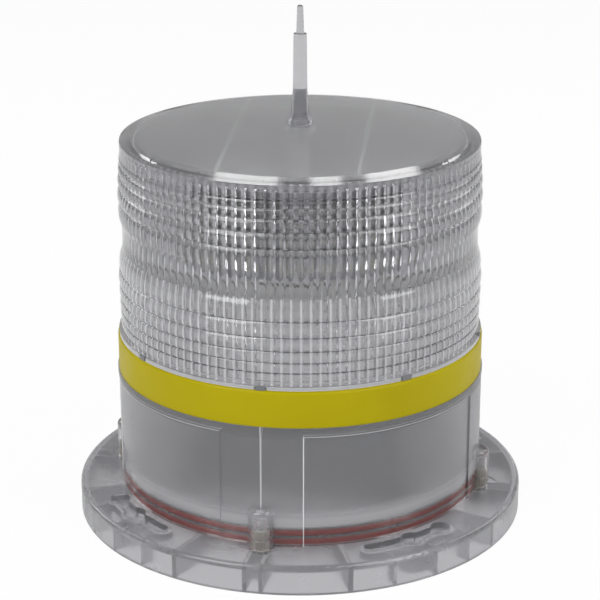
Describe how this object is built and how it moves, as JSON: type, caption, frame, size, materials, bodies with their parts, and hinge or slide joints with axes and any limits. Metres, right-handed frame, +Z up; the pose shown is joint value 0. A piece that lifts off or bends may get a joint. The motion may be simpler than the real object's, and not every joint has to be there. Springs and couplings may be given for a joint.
{
  "type": "solar obstruction warning light",
  "caption": "Self-contained solar warning lantern: clear ribbed drum lens on a frosted sealed housing with a yellow band, bolt-down clear flange, solar top and bird spike.",
  "frame": {"origin": "centre of the flange's underside, on the lantern's vertical axis", "axes": "+Z up along the lantern's axis; one screw boss faces -Y, the others -X, +X and +Y"},
  "size_m": [0.232, 0.232, 0.263],
  "materials": {
    "clear_polycarbonate": "clear moulded, glossy",
    "frosted_polycarbonate": "clear moulding with a fine frosted texture",
    "yellow_abs": "moulded yellow, semi-gloss",
    "red_silicone": "moulded, satin",
    "black_rubber": "moulded, matte",
    "stainless_steel": "turned, bright",
    "brass": "knurled, dull",
    "nickel_contact": "pressed, nickel plated",
    "black_plastic": "moulded, fine texture",
    "grey_plastic": "moulded, fine texture",
    "white_plastic": "moulded, satin",
    "cell_sleeve": "metal can in a printed-free shrink sleeve",
    "circuit_board": "glass-fibre laminate, green solder mask",
    "solar_cell": "silicon cells under clear resin",
    "panel_laminate": "pale glass-fibre laminate",
    "aluminium": "machined",
    "led_resin": "clear dome over a pale package",
    "ferrite": "pressed powder core"
  },
  "bodies": {
    "base": {"base_flange": "clear_polycarbonate", "lower_o_ring": "red_silicone", "upper_o_ring": "red_silicone", "assembly_screws": "stainless_steel", "battery_tray": "black_plastic", "tray_screws": "stainless_steel", "battery_cell_1": "cell_sleeve", "battery_cell_2": "cell_sleeve", "battery_cell_3": "cell_sleeve", "front_contacts": "nickel_contact", "rear_contacts": "nickel_contact", "battery_clamp": "grey_plastic", "clamp_screws": "stainless_steel", "connector_tower": "black_plastic", "tower_pads": "nickel_contact", "power_switch_body": "black_plastic", "power_switch_gasket": "black_rubber", "power_switch_nut": "stainless_steel", "button_spring": "stainless_steel", "breather_plug": "black_plastic", "breather_nut": "black_plastic"},
    "power_button": {"power_button": "black_rubber"},
    "head": {"housing": "frosted_polycarbonate", "screw_inserts": "brass", "colour_band": "yellow_abs", "lens_drum": "clear_polycarbonate", "lens_gasket": "black_rubber", "lens_keys": "grey_plastic", "top_cover": "clear_polycarbonate", "panel_backing": "panel_laminate", "solar_cell_1": "solar_cell", "solar_cell_2": "solar_cell", "solar_cell_3": "solar_cell", "panel_carrier": "white_plastic", "deck": "white_plastic", "deck_screws": "stainless_steel", "mast": "white_plastic", "mast_screws": "stainless_steel", "light_hub": "aluminium", "led_boards": "panel_laminate", "leds": "led_resin", "driver_box": "black_plastic", "board_standoffs": "brass", "controller_board": "circuit_board", "board_screws": "stainless_steel", "contact_block": "black_plastic", "contact_pins": "brass", "code_switches": "grey_plastic", "capacitors": "black_plastic", "controller_chips": "black_plastic", "charge_inductor": "ferrite"},
    "spike": {"bird_spike": "clear_polycarbonate", "spike_o_ring": "black_rubber"},
    "flash_dial": {"flash_code_dial": "white_plastic"},
    "range_dial": {"range_code_dial": "white_plastic"}
  },
  "joints": [
    {"name": "head_lift", "type": "slide", "parent": "base", "child": "head", "axis": [0, 0, 1], "range_m": [0, 0.075]},
    {"name": "power_press", "type": "slide", "parent": "base", "child": "power_button", "axis": [0, 0, 1], "range_m": [0, 0.002], "stiffness_N_per_m": 900, "springref_m": -0.001, "deforming": ["button_spring"]},
    {"name": "spike_pull", "type": "slide", "parent": "head", "child": "spike", "axis": [0, 0, 1], "range_m": [0, 0.0054]},
    {"name": "flash_code_turn", "type": "hinge", "parent": "head", "child": "flash_dial", "pos_m": [-0.018, -0.034, 0.0779], "axis": [0, 0, 1], "continuous": true},
    {"name": "range_code_turn", "type": "hinge", "parent": "head", "child": "range_dial", "pos_m": [0.018, -0.034, 0.0779], "axis": [0, 0, 1], "continuous": true}
  ]
}
